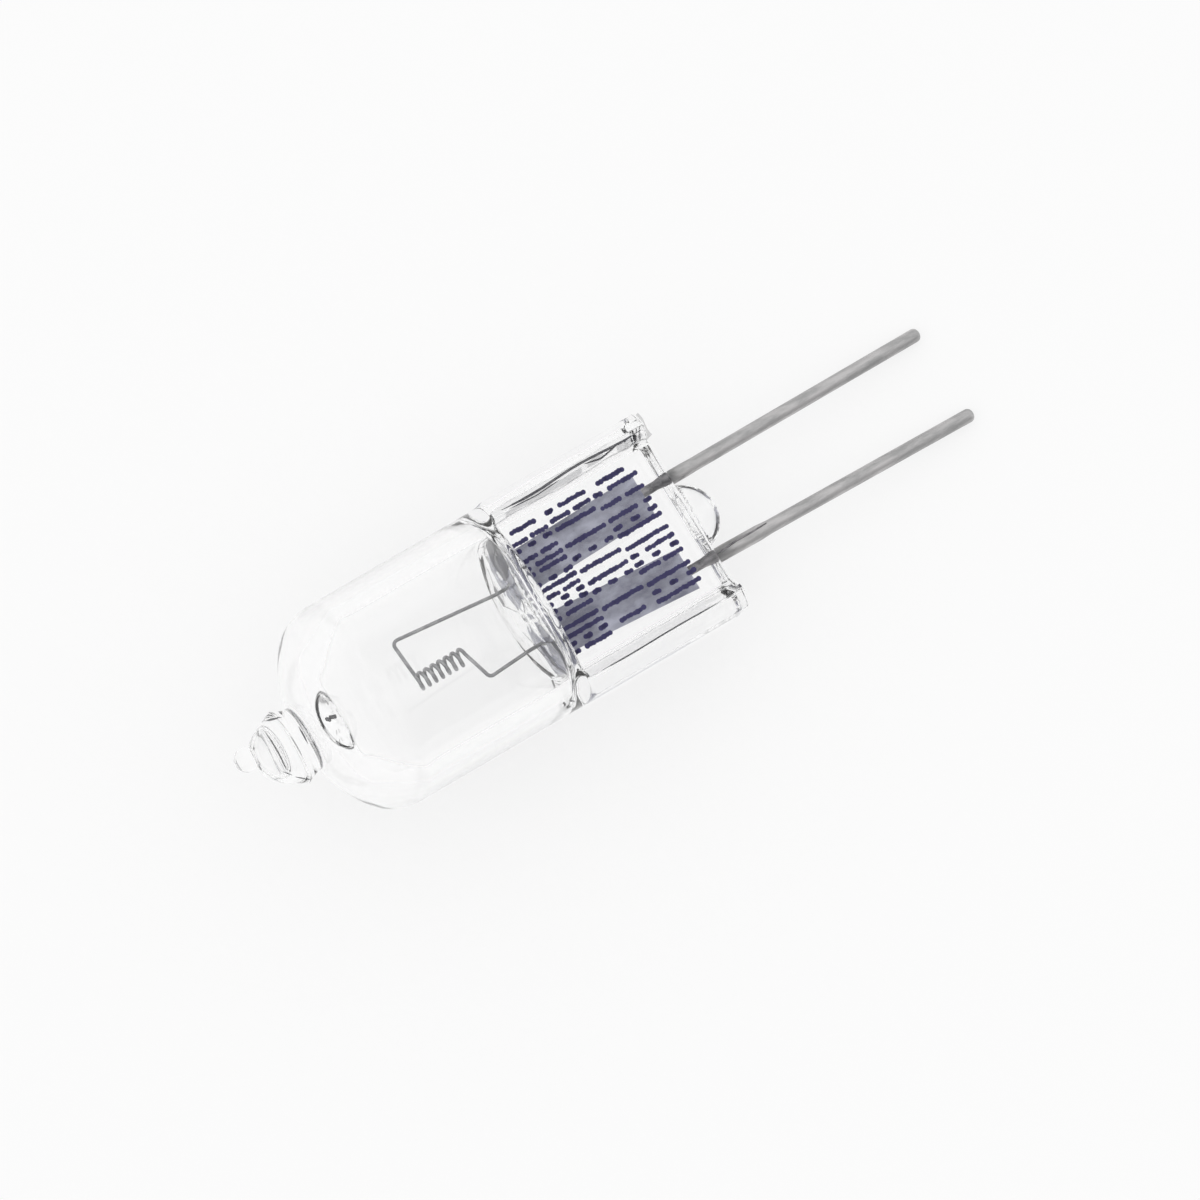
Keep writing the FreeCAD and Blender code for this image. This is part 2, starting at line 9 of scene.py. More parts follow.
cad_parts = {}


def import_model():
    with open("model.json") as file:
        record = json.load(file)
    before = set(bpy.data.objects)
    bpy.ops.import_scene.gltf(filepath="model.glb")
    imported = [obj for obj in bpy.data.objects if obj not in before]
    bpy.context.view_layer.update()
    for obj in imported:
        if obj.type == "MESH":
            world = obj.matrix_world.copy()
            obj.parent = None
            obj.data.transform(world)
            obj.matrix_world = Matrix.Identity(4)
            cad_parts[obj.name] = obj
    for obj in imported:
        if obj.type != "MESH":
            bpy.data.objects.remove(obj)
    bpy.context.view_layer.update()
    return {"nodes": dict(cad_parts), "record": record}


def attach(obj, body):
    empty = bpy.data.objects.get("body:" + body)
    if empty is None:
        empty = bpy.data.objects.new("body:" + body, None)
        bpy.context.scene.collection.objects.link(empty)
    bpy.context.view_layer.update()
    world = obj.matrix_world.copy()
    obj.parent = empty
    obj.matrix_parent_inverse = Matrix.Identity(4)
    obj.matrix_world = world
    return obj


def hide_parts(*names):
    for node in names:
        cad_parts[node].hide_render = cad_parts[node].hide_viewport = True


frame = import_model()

# The halogen capsule on a white floor, seen from above. Every piece is shaped in the lamp's own
# frame in millimetres and then placed by the frame's two pins: X runs from the dome to the pins,
# Y from pin 2 to pin 1, Z square to the flat of the pinch, and X = 0 is the glass end.

MM = 0.001

# Bulb, shoulder and the hollow in them
BULB_RADIUS = 4.7
BULB_WALL = 1.2
CAVITY_RADIUS = BULB_RADIUS - BULB_WALL
SHOULDER_X = -7.7
SHOULDER_ROUND = 1.2
SHOULDER_LEAN = 0.12
SHOULDER_FOOT = ((0.3, 0.0), (0.14, 0.012), (0.05, 0.05), (0.0, 0.12))
SHOULDER_WALL = (0.02, 0.2)
DOME_X = -16.0
DOME_KNUCKLE = 2.3
DOME_CROWN = 6.3
CAVITY_DOME_DELAY = 0.8
FLOOR_X = -8.4
FLOOR_ROUND = 0.35
FLOOR_SAG = 0.38
FLOOR_FOLD = 0.12
FLOOR_FOLD_WIDTH = 0.55
FLOOR_FOLD_RATE = 1.3
FLOOR_BUMPS = ((0.08, 0.9, 3.0), (0.05, 2.3, 11.0))
SEAT_RADIUS = 1.93
SEAT_DEPTH = 0.3
SEAT_WALL = 0.5

# Exhaust tip: a neck, a rim, a cap that narrows to a nib, and a bubble inside
TIP_NECK_RADIUS = 1.45
TIP_NECK_SINK = 0.17
TIP_NECK_MARGIN = 0.12
TIP_NECK_HOLLOW = 0.05
TIP_RIM_RADIUS = 1.7
TIP_RIM_RISE = 0.6
TIP_RIM_LIP = (0.05, 0.01)
TIP_RISE = 2.25
TIP_CAP_RADIUS = 1.4
NIB_RADIUS = 0.55
NIB_RISE = 2.4
NIB_OFFSET = 0.46
NIB_LEAN = 0.6
BUBBLE_RISE = 1.3
BUBBLE_HALF_LENGTH = 0.58
BUBBLE_HALF_WIDTH = 0.98
BUBBLE_POINT = 0.18
BUBBLE_FLATNESS = 0.62
BUBBLE_OFFSET = 0.17

# Pinch: a web with a flange along each side, and the lobe on its end
PINCH_HALF_WIDTH = 4.7
PINCH_HALF_HEIGHT = 2.55
PINCH_ROUND = 0.9
CREST_STEPS = ((-0.05, 0.005), (-0.09, -0.03))
FLANK_BLEND = (4.6, 4.0)
SMALLEST_TURN = 0.006
WEB_HALF = 1.5
FLANGE_FOOT_Y = 3.4
FLANGE_DRAFT = 0.17
RECESS_ROUND = 0.3
WAVE_OUTSIDE = (4.1, 3.95)
WAVE_INSIDE = (3.1, 3.35)
WAVE_RATE = 1.35
WAVE_DEPTH = 0.04
RIPPLE_RATE = 3.9
RIPPLE_DEPTH = 0.012
SWELL_DEPTH = 0.03
END_SPINE = 4.1
END_ROUND = 0.12
END_EDGE_X = -0.16
LOBE_HALF_WIDTH = 1.55
LOBE_HALF_THICKNESS = 1.1
LOBE_OFFSET = -0.15
LOBE_REACH = 1.33
LOBE_FULLNESS = 0.6

# Painted shade in the glass: smoky patches and threads that stand in for dark refraction
SHADE_GAP = 0.03
SHADE_MARGIN = 0.14
THREAD_PIECE = 0.25
THREAD_BEND = 0.12

# Leads and pins
LEAD_SPACING = 3.81
SEAL_SHIFT = 0.2
LEAD_RADIUS = 0.21
PIN_RADIUS = 0.3
PIN_ROUND = 0.24
PIN_SINK = 0.02
PIN_LENGTHS = {"1": 12.7, "2": 12.9}
ROOT_LENGTHS = {"1": 1.4, "2": 2.8}
ROOT_RADII = {"1": 0.315, "2": 0.335}
ROOT_SLOPE = 0.52
PIN_2_SPLAY = math.radians(1.1)

# Filament
WIRE_RADIUS = 0.08
COIL_TURNS = 7
COIL_STEPS = 28
COIL_PITCH = 0.328
COIL_RADIUS = 0.34
COIL_START_X = -13.6
COIL_OFFSET = 0.36
LEG_FREE = 0.5
LEG_BEND = 0.22
LEG_END_X = -6.5
LEG_1_Y = 1.15
LEG_1_CORNER_X = -13.45
LEG_1_CORNER_Y = 1.62
LEG_2_Y = -1.57
LEG_2_CORNER_X = -10.9
LEG_2_CORNER_Y = -1.7

# Print: bands as (from x, to x, gaps between bars), and bars as runs along a band's length
PRINT_SEED = 12
PRINT_BANDS = (
    (-7.5, -5.76, (0.3, 0.36, 0.5)),
    (-5.41, -3.6, (0.42, 0.6, 0.8)),
    (-3.26, -1.3, (0.36, 0.42, 0.6)),
)
PRINT_SIDES = (2.93, -2.75)
BARS = (
    ((0, 1),), ((0, 1),), ((0, 1),), ((0, 0.42), (0.62, 1)), ((0, 0.12), (0.36, 1)),
    ((0, 0.64), (0.88, 1)), ((0, 0.12), (0.44, 0.56), (0.88, 1)), ((0.2, 0.8),),
)
DOT_STEP = 0.15
DOT_SCATTER = 0.02
DOT_RADII = (0.1, 0.13)
DOT_CORNERS = 8
INK_LIFT = 0.035

# Materials
METAL_GRAIN = 1000.0
METAL_RELIEF = 0.00004

# Floor, camera and light
FLOOR_HALF_SIZE = 1.5
FLOOR_GLOW = 0.72
FLOOR_GLOW_IN_GLASS = 0.86
FLOOR_WHITE = 1.0
AXIS_ANGLE = math.radians(30.3)
FLOOR_UP = Vector((0.5045, 0.8634, 0))
CAMERA_LEAN = math.radians(3.8)
CAMERA_DISTANCE = 1.0
CAMERA_SENSOR = 36.0
VIEW_WIDTH = 0.0502
AIM_RIGHT = -3.59
AIM_UP = -3.52
SKY_BRIGHT = 1.0
SKY_DIM = 0.5
DIM_SIDE = Vector((0.0, -0.95, 0.3)).normalized()
DIM_EDGES = (0.5, 0.95)


# The lamp's own frame

def lamp_matrix():
    """Turns the lamp's millimetres into the frame's metres, from the places of the two pins."""
    mounts = {mount["name"]: mount for mount in frame["record"]["mounts"]}
    first = mounts["pin_1"]
    along = Vector(first["axis"]).normalized()
    across = Vector(first["pos_m"]) - Vector(mounts["pin_2"]["pos_m"])
    across = (across - across.dot(along) * along).normalized()
    up = along.cross(across)
    reach = ROOT_LENGTHS["1"] + first["dims"]["length_mm"] / 2
    origin = Vector(first["pos_m"]) - (along * reach + across * lead_y("1")) * MM
    turn = Matrix((along, across, up)).transposed()
    return Matrix.LocRotScale(origin, turn, Vector((MM, MM, MM)))


def lead_y(side):
    sign = 1 if side == "1" else -1
    return sign * LEAD_SPACING / 2 - SEAL_SHIFT


LAMP = lamp_matrix()


# Meshes

def new_piece(name, points, faces, material, smooth=True):
    """A mesh from points in the lamp's millimetres."""
    mesh = bpy.data.meshes.new(name)
    mesh.from_pydata([LAMP @ Vector(point) for point in points], [], faces)
    weld(mesh)
    if smooth:
        mesh.shade_smooth()
    else:
        mesh.shade_flat()
    piece = bpy.data.objects.new(name, mesh)
    bpy.context.scene.collection.objects.link(piece)
    mesh.materials.append(material)
    return piece


def weld(mesh):
    """Joins points that lie on each other, as along the middle of the glass end."""
    shape = bmesh.new()
    shape.from_mesh(mesh)
    bmesh.ops.remove_doubles(shape, verts=shape.verts, dist=1e-8)
    shape.to_mesh(mesh)
    shape.free()
    mesh.validate()
    mesh.update()


def loft(rings, first_pole=None, last_pole=None):
    """Points and faces through rings of equal count; a pole closes an end."""
    count = len(rings[0])
    points = [tuple(point) for ring in rings for point in ring]
    faces = []
    for row in range(len(rings) - 1):
        for column in range(count):
            following = (column + 1) % count
            faces.append((row * count + column, row * count + following,
                          (row + 1) * count + following, (row + 1) * count + column))
    if first_pole is not None:
        pole = len(points)
        points.append(tuple(first_pole))
        faces += [(pole, (column + 1) % count, column) for column in range(count)]
    if last_pole is not None:
        pole = len(points)
        points.append(tuple(last_pole))
        base = (len(rings) - 1) * count
        faces += [(base + column, base + (column + 1) % count, pole) for column in range(count)]
    return points, faces


def grid(rows):
    """Points and faces of an open patch through rows of equal count."""
    wide = len(rows[0])
    faces = [(i * wide + j, i * wide + j + 1, (i + 1) * wide + j + 1, (i + 1) * wide + j)
             for i in range(len(rows) - 1) for j in range(wide - 1)]
    return [point for row in rows for point in row], faces


def turn_over(faces):
    return [tuple(reversed(face)) for face in faces]


def join_parts(parts):
    """Put several points-and-faces pairs into one."""
    points, faces = [], []
    for part_points, part_faces in parts:
        base = len(points)
        points += part_points
        faces += [tuple(base + index for index in face) for face in part_faces]
    return points, faces


def tube(path, radii, sides):
    """A closed round tube along a path of points, with one radius or one for each point."""
    path = [Vector(point) for point in path]
    rings = []
    normal = None
    for index, point in enumerate(path):
        before = path[max(index - 1, 0)]
        after = path[min(index + 1, len(path) - 1)]
        along = (after - before).normalized()
        if normal is None:
            normal = along.orthogonal().normalized()
        normal = (normal - normal.dot(along) * along).normalized()
        other = along.cross(normal)
        radius = radii[index] if hasattr(radii, "__len__") else radii
        ring = []
        for side in range(sides):
            angle = 2 * math.pi * side / sides
            ring.append(tuple(point + (normal * math.cos(angle) + other * math.sin(angle)) * radius))
        rings.append(ring)
    return loft(rings, first_pole=tuple(path[0]), last_pole=tuple(path[-1]))


def rounded_route(corners, radius, steps=7):
    """Points along straight runs joined by arcs."""
    corners = [Vector(corner) for corner in corners]
    route = [corners[0]]
    for before, corner, after in zip(corners, corners[1:], corners[2:]):
        back = (before - corner).normalized()
        ahead = (after - corner).normalized()
        half = back.angle(ahead) / 2
        reach = radius / math.tan(half)
        start = corner + back * reach
        finish = corner + ahead * reach
        centre = corner + (back + ahead).normalized() * (radius / math.sin(half))
        for share in np.linspace(0, 1, steps):
            spot = start.lerp(finish, share)
            route.append(centre + (spot - centre).normalized() * radius)
    route.append(corners[-1])
    return route


def smoothstep(low, high, value):
    share = np.clip((np.asarray(value, float) - low) / (high - low), 0, 1)
    return share * share * (3 - 2 * share)


def ripple(x, y, z, scale, seed):
    return noise.noise(Vector((x * scale + seed, y * scale, z * scale)))


# Glass

def pinch_quarter():
    """A quarter of the I section from the flank to the middle of the web, with its angle on the bulb."""
    points = []
    for z in np.linspace(0, PINCH_HALF_HEIGHT - PINCH_ROUND, 7)[:-1]:
        points.append((PINCH_HALF_WIDTH, z))
    centre_y = PINCH_HALF_WIDTH - PINCH_ROUND
    centre_z = PINCH_HALF_HEIGHT - PINCH_ROUND
    for angle in np.radians(np.linspace(0, 74, 13)):
        points.append((centre_y + PINCH_ROUND * math.cos(angle), centre_z + PINCH_ROUND * math.sin(angle)))
    crest_y, crest_z = points[-1]
    points += [(crest_y + y, crest_z + z) for y, z in CREST_STEPS]
    top_y, top_z = points[-1]
    foot_y = FLANGE_FOOT_Y + FLANGE_DRAFT
    foot_z = WEB_HALF + RECESS_ROUND
    for share in np.linspace(0, 1, 9)[1:-1]:
        points.append((top_y + (foot_y - top_y) * share, top_z + (foot_z - top_z) * share))
    recess_y = foot_y - RECESS_ROUND
    for angle in np.radians(np.linspace(0, -90, 7)):
        points.append((recess_y + RECESS_ROUND * math.cos(angle), foot_z + RECESS_ROUND * math.sin(angle)))
    for y in np.linspace(recess_y, 0, 26)[1:]:
        points.append((y, WEB_HALF))
    angles = []
    for y, z in points:
        by_height = math.asin(min(z / BULB_RADIUS, 1.0))
        by_width = math.acos(min(y / BULB_RADIUS, 1.0))
        blend = float(smoothstep(*FLANK_BLEND, y))
        angles.append(by_height * (1 - blend) + by_width * blend)
    steps = np.maximum(np.diff(angles), SMALLEST_TURN)
    angles = np.concatenate([[0.0], np.cumsum(steps)])
    return np.array(points), angles * (math.pi / 2) / angles[-1]


def full_loop(quarter):
    """Mirror a quarter, which runs from +Y to +Z, to a whole loop of (y, z)."""
    second = quarter[-2::-1] * (-1, 1)
    third = quarter[1:] * (-1, -1)
    fourth = quarter[-2:0:-1] * (1, -1)
    return np.vstack([quarter, second, third, fourth])


def section_loops():
    """The I section and the bulb's circle, point by point."""
    quarter, angles = pinch_quarter()
    round_quarter = np.column_stack([np.cos(angles), np.sin(angles)])
    return full_loop(quarter), full_loop(round_quarter)


PINCH_LOOP, ROUND_LOOP = section_loops()


def pinch_ring(x, share):
    """A ring between the I section (share 0) and the bulb's circle (share 1), with wavy flanges."""
    loop = PINCH_LOOP * (1 - share) + ROUND_LOOP * BULB_RADIUS * share
    ring = []
    for (y, z), (flat_y, flat_z) in zip(loop, PINCH_LOOP):
        beside_pin_1 = flat_y > 0
        inner = smoothstep(*WAVE_OUTSIDE, abs(flat_y)) * smoothstep(*WAVE_INSIDE, abs(flat_y)) * (1 - share)
        wave = WAVE_DEPTH * math.sin(WAVE_RATE * x + (1.0 if beside_pin_1 else 2.6))
        wave += RIPPLE_DEPTH * math.sin(RIPPLE_RATE * x)
        wave = wave - 2 * WAVE_DEPTH if beside_pin_1 else wave * 0.5
        swell = SWELL_DEPTH * ripple(x, flat_y, flat_z, 0.5, 7.0) * (1 - share)
        ring.append((x, y + math.copysign(float(inner) * wave, y), z + math.copysign(swell, z)))
    return ring


def end_cap():
    """Rings from the middle of the glass end out to its edge."""
    rings = []
    middle_y = np.clip(PINCH_LOOP[:, 0], -END_SPINE, END_SPINE)
    spine = np.column_stack([middle_y, np.zeros(len(PINCH_LOOP))])
    for share in np.linspace(0, 0.96, 26):
        loop = spine + (PINCH_LOOP - spine) * share
        rings.append([(end_x(y, z) - END_ROUND * share ** 8, y, z) for y, z in loop])
    rings.append([(END_EDGE_X, y, z) for y, z in spine + (PINCH_LOOP - spine) * 0.99])
    return rings


def end_x(y, z):
    """How far the glass end stands out, with the lobe pressed out between the pins."""
    across = (y - LOBE_OFFSET) / LOBE_HALF_WIDTH
    up = z / LOBE_HALF_THICKNESS
    near = 1 - across * across - up * up
    return LOBE_REACH * near ** LOBE_FULLNESS if near > 0 else 0.0


def shoulder_rings():
    """The pressed step from the pinch up to the bulb: a foot, a slightly leaning wall and a round edge."""
    path = [(SHOULDER_X + ahead, share) for ahead, share in SHOULDER_FOOT]
    behind, low = SHOULDER_WALL
    high = 1 - SHOULDER_ROUND / (BULB_RADIUS - WEB_HALF)
    for share in np.linspace(0, 1, 5):
        path.append((SHOULDER_X - behind - SHOULDER_LEAN * share, low + (high - low) * share))
    for angle in np.radians(np.linspace(8, 90, 12)):
        path.append((SHOULDER_X - SHOULDER_ROUND + (SHOULDER_ROUND - SHOULDER_LEAN) * math.cos(angle),
                     high + (1 - high) * math.sin(angle)))
    return [pinch_ring(x, share) for x, share in path]


def dome_profile():
    """(x, radius) over the knuckle and the crown of the dome."""
    step = math.sqrt((DOME_CROWN - DOME_KNUCKLE) ** 2 - (BULB_RADIUS - DOME_KNUCKLE) ** 2)
    crown_x = DOME_X + step
    meet = math.atan2(BULB_RADIUS - DOME_KNUCKLE, step)
    profile = []
    for angle in np.linspace(math.pi / 2, meet, 14):
        profile.append((DOME_X - DOME_KNUCKLE * math.cos(angle),
                        BULB_RADIUS - DOME_KNUCKLE + DOME_KNUCKLE * math.sin(angle)))
    for angle in np.linspace(meet, 0, 24)[1:]:
        profile.append((crown_x - DOME_CROWN * math.cos(angle), DOME_CROWN * math.sin(angle)))
    return profile


APEX_X = dome_profile()[-1][0]
RIM_X = APEX_X - TIP_RIM_RISE
SEAT_X = APEX_X + BULB_WALL + SEAT_WALL


def round_ring(x, radius, centre_y=0.0):
    return [(x, centre_y + y * radius, z * radius) for y, z in ROUND_LOOP]


def tip_profile():
    """(x, radius, centre) of the exhaust tip from its neck to its end."""
    profile = []
    for share in np.linspace(0, 1, 7):
        hollow = TIP_NECK_HOLLOW * math.sin(math.pi * share)
        x = APEX_X + TIP_NECK_SINK - share * (TIP_RIM_RISE + TIP_NECK_SINK)
        profile.append((x, TIP_NECK_RADIUS + (TIP_RIM_RADIUS - TIP_NECK_RADIUS) * share - hollow, 0.0))
    profile.append((RIM_X - TIP_RIM_LIP[0], TIP_RIM_RADIUS - TIP_RIM_LIP[1], 0.0))
    cap_x = APEX_X - TIP_RISE + TIP_CAP_RADIUS
    run = RIM_X - cap_x
    tangent = math.atan2(TIP_RIM_RADIUS, -run) - math.acos(TIP_CAP_RADIUS / math.hypot(run, TIP_RIM_RADIUS))
    for angle in np.linspace(tangent, math.radians(26), 9):
        profile.append((cap_x - TIP_CAP_RADIUS * math.cos(angle), TIP_CAP_RADIUS * math.sin(angle),
                        NIB_OFFSET * math.cos(angle) ** 3 * NIB_LEAN))
    nib_x = APEX_X - NIB_RISE
    for angle in np.radians(np.linspace(62, 162, 11)):
        profile.append((nib_x + NIB_RADIUS * math.cos(angle), NIB_RADIUS * math.sin(angle), NIB_OFFSET))
    return profile, (nib_x - NIB_RADIUS, NIB_OFFSET, 0.0)


def glass_outside():
    rings = end_cap()
    for x in np.linspace(-0.25, SHOULDER_X + 0.45, 44):
        rings.append(pinch_ring(x, 0.0))
    rings += shoulder_rings()
    for x in np.linspace(SHOULDER_X - SHOULDER_ROUND, DOME_X, 16)[1:-1]:
        rings.append(round_ring(x, BULB_RADIUS))
    for x, radius in dome_profile():
        if radius > TIP_NECK_RADIUS + TIP_NECK_MARGIN:
            rings.append(round_ring(x, radius))
    tip, end = tip_profile()
    rings += [round_ring(*spot) for spot in tip]
    points, faces = loft(rings, last_pole=end)
    return points, turn_over(faces)


def glass_inside():
    """The cavity, with its pressed floor and the mark of the exhaust tube in its dome."""
    rings = []
    for share in np.linspace(0.06, 1, 20):
        ring = round_ring(FLOOR_X, (CAVITY_RADIUS - FLOOR_ROUND) * share)
        rings.append([(floor_x(y, z), y, z) for x, y, z in ring])
    for angle in np.radians(np.linspace(15, 90, 6)):
        ring = round_ring(FLOOR_X - FLOOR_ROUND + FLOOR_ROUND * math.cos(angle),
                          CAVITY_RADIUS - FLOOR_ROUND + FLOOR_ROUND * math.sin(angle))
        rings.append([(x + floor_sag(y), y, z) for x, y, z in ring])
    dome_start = DOME_X + CAVITY_DOME_DELAY
    for x in np.linspace(FLOOR_X - FLOOR_ROUND, dome_start, 14)[1:-1]:
        rings.append(round_ring(x, CAVITY_RADIUS))
    depth = dome_start - APEX_X - BULB_WALL - SEAT_WALL
    for angle in np.linspace(math.pi / 2, math.asin(SEAT_RADIUS / CAVITY_RADIUS), 24):
        edge_x = dome_start - depth * math.cos(angle)
        rings.append(round_ring(edge_x, CAVITY_RADIUS * math.sin(angle)))
    for share in np.linspace(0.95, 0.05, 12):
        rings.append(round_ring(edge_x - SEAT_DEPTH * (1 - share * share), SEAT_RADIUS * share))
    return loft(rings, first_pole=(floor_x(0, 0), 0, 0), last_pole=(edge_x - SEAT_DEPTH, 0, 0))


def floor_x(y, z):
    return FLOOR_X + floor_ripple(y, z) + floor_sag(y)


def floor_sag(y):
    """The cavity reaches nearer to the pinch at its sides, beside the flanges, than in its middle."""
    return FLOOR_SAG * (y / CAVITY_RADIUS) ** 2


def floor_ripple(y, z):
    """Uneven floor of the cavity, as the hot glass was pressed."""
    fade = max(0.0, 1 - (math.hypot(y, z) / CAVITY_RADIUS) ** 4)
    height = FLOOR_FOLD * math.exp(-(z / FLOOR_FOLD_WIDTH) ** 2) * math.cos(FLOOR_FOLD_RATE * y)
    for depth, scale, seed in FLOOR_BUMPS:
        height += depth * ripple(0.0, y, z, scale, seed)
    return fade * height


def bubble():
    """Bubble in the exhaust tip, flattened and wider towards the bulb."""
    rings = []
    middle = APEX_X - BUBBLE_RISE
    for angle in np.radians(np.linspace(8, 172, 18)):
        x = middle + BUBBLE_HALF_LENGTH * math.cos(angle)
        width = BUBBLE_HALF_WIDTH * math.sin(angle) * (1 + BUBBLE_POINT * math.cos(angle))
        rings.append([(x, BUBBLE_OFFSET + y * width, z * width * BUBBLE_FLATNESS) for y, z in ROUND_LOOP])
    return loft(rings, first_pole=(middle + BUBBLE_HALF_LENGTH, BUBBLE_OFFSET, 0),
                last_pole=(middle - BUBBLE_HALF_LENGTH, BUBBLE_OFFSET, 0))


# Painted shade in the glass: smoky patches and threads that stand in for dark refraction

def painted_floor_shade(rows):
    """A patch of painted shade, a smoky film standing in for dark refraction, lying on the floor of the
    cavity, through rows of (y, z).
    """
    return grid([[(floor_x(y, z) - SHADE_GAP, y, z) for y, z in row] for row in rows])


def painted_refraction_shade():
    """Painted shade: dark crescents and slivers laid as a smoky film on the floor of the cavity, standing in
    for dark refraction in the shoulder.
    """
    reach = CAVITY_RADIUS - SHADE_MARGIN
    parts = []
    for sign, first, bands in ((1, 1.35, ((0.0, 1.0),)), (-1, 1.6, ((0.0, 0.2), (0.72, 1.0)))):
        for low_share, high_share in bands:
            rows = []
            for share in np.linspace(0, 1, 18):
                y = first + (reach - 0.03 - first) * share
                top = 0.88 * math.sqrt(reach * reach - y * y)
                low = 0.3 + 0.5 * (1 - share) ** 2 if sign > 0 else 0.25
                low = min(low, top - 0.02)
                edge = 1.0 if share > 0.12 else 0.35 + share / 0.12 * 0.65
                rows.append([(sign * y, low + (top - low) * edge * mix)
                             for mix in np.linspace(low_share, high_share, 7)])
            parts.append(painted_floor_shade(rows))
    slivers = (
        (0.24, ((2.5, -1.35), (1.6, -1.75), (0.7, -1.35), (0.1, -0.4))),
        (0.24, ((-0.7, -1.1), (-1.4, -0.75), (-2.1, -0.2), (-2.6, 0.25))),
        (0.1, ((1.2, 0.6), (0.6, 1.3), (0.2, 2.1), (-0.2, 1.2), (-0.7, 0.5))),
        (0.1, ((-1.2, 2.6), (-0.9, 1.8), (-1.3, 1.0))),
    )
    for widest, spine in slivers:
        route = rounded_route([(0, y, z) for y, z in spine], 0.3)
        rows = []
        for index, spot in enumerate(route):
            share = index / (len(route) - 1)
            half = widest * math.sin(math.pi * min(max(share, 0.04), 0.96))
            rows.append([(spot.y, spot.z - half), (spot.y, spot.z + half)])
        parts.append(painted_floor_shade(rows))
    return join_parts(parts)


def thread(corners, radius, taper=True):
    """A fine dark line in the glass, thinner at both ends unless it is blunt."""
    if len(corners) > 2:
        route = rounded_route(corners, THREAD_BEND, 4)
    else:
        route = [Vector(corner) for corner in corners]
    fine = []
    for before, after in zip(route, route[1:]):
        pieces = max(1, round((after - before).length / THREAD_PIECE))
        fine += [before.lerp(after, step / pieces) for step in range(pieces)]
    fine.append(route[-1])
    radii = []
    for index in range(len(fine)):
        share = index / (len(fine) - 1)
        end = min(share, 1 - share) * 6
        radii.append(radius * (min(1.0, 0.25 + end) if taper else 1.0))
    return tube(fine, radii, 6)


def painted_refraction_lines():
    """Painted shade: fine dark threads standing in for dark refraction lines on the flanges, in the exhaust
    mark and on the tip.
    """
    parts = []
    high = PINCH_HALF_HEIGHT - 0.04
    for low_x, high_x, y, size in ((-7.25, -0.35, 3.9, 0.06), (-7.1, -1.35, -3.99, 0.035)):
        corners = [(x, y + 0.05 * math.sin(WAVE_RATE * x) * (1 if y > 0 else 0.3), high)
                   for x in np.linspace(low_x, high_x, 15)]
        parts.append(thread(corners, size))
    lines = (
        # flange beside pin 1, and the end of the other flange
        ([(-3.2, 3.84, high), (-2.4, 3.7, high - 0.2), (-1.6, 3.83, high)], 0.04, True),
        ([(-6.9, 3.8, high - 0.1), (-5.6, 3.72, high - 0.2), (-4.4, 3.8, high - 0.1)], 0.025, True),
        ([(-0.15, -3.75, 2.3), (-0.12, -3.9, 2.3)], 0.06, False),
        # exhaust mark
        ([(SEAT_X + 0.08, 0.12, 1.2), (SEAT_X + 0.02, 0.02, 1.5)], 0.08, False),
        ([(SEAT_X + 0.15, -0.42, 1.3), (SEAT_X + 0.1, -0.55, 1.2)], 0.045, True),
        ([(SEAT_X + 0.15, -0.72, 1.1), (SEAT_X + 0.1, -0.85, 1.0)], 0.045, True),
        # foot of the lower crescent
        ([(-8.72, -3.1, 0.3), (-8.8, -3.6, 0.3)], 0.05, False),
        ([(-8.8, -3.56, 0.3), (-9.0, -3.68, 0.2)], 0.045, True),
        ([(-8.66, -3.3, 0.3), (-8.3, -3.72, 0.3)], 0.045, True),
        # exhaust tip
        ([(RIM_X - 0.32, 1.33, 0.45), (RIM_X - 0.1, 1.22, 0.75), (RIM_X + 0.12, 1.1, 0.95)], 0.055, True),
        ([(RIM_X - 0.5, -1.15, 0.5), (RIM_X - 0.1, -1.5, 0.4), (RIM_X + 0.1, -1.55, 0.3)], 0.04, True),
        ([(RIM_X - 0.9, -0.75, 0.75), (RIM_X - 0.6, -1.05, 0.6)], 0.03, True),
        ([(RIM_X + 0.5, 0.45, 1.3), (RIM_X + 0.45, -0.35, 1.35)], 0.04, True),
    )
    parts += [thread(*line) for line in lines]
    return join_parts(parts)


def painted_end_patch():
    """Painted shade: a faint patch on the end of the flange beside pin 1, standing in for its dark
    refraction.
    """
    rows = []
    for y in np.linspace(3.5, 4.6, 10):
        wobble = 0.12 * math.sin(7 * y)
        rows.append([(0.03, y, z) for z in np.linspace(0.25 + wobble, 2.15 - wobble, 6)])
    return grid(rows)


def painted_flange_band():
    """Painted shade: a grey band in the flange beside pin 1, standing in for dark refraction, uneven in width
    and open at two bright spots.
    """
    steps = 14
    parts = []
    for low, high in ((-7.1, -3.3), (-3.0, -2.2), (-1.55, -0.3)):
        rows = []
        for step in range(steps + 1):
            x = low + (high - low) * step / steps
            swell = math.sin(math.pi * min(max(step / steps, 0.08), 0.92)) ** 0.5
            middle = 3.72 + 0.05 * math.sin(1.9 * x)
            half = 0.17 * swell * (1 + 0.3 * math.sin(3.1 * x))
            rows.append([(x, middle - half, 1.9), (x, middle + half, 2.2)])
        parts.append(grid(rows))
    return join_parts(parts)


# Wires and pins

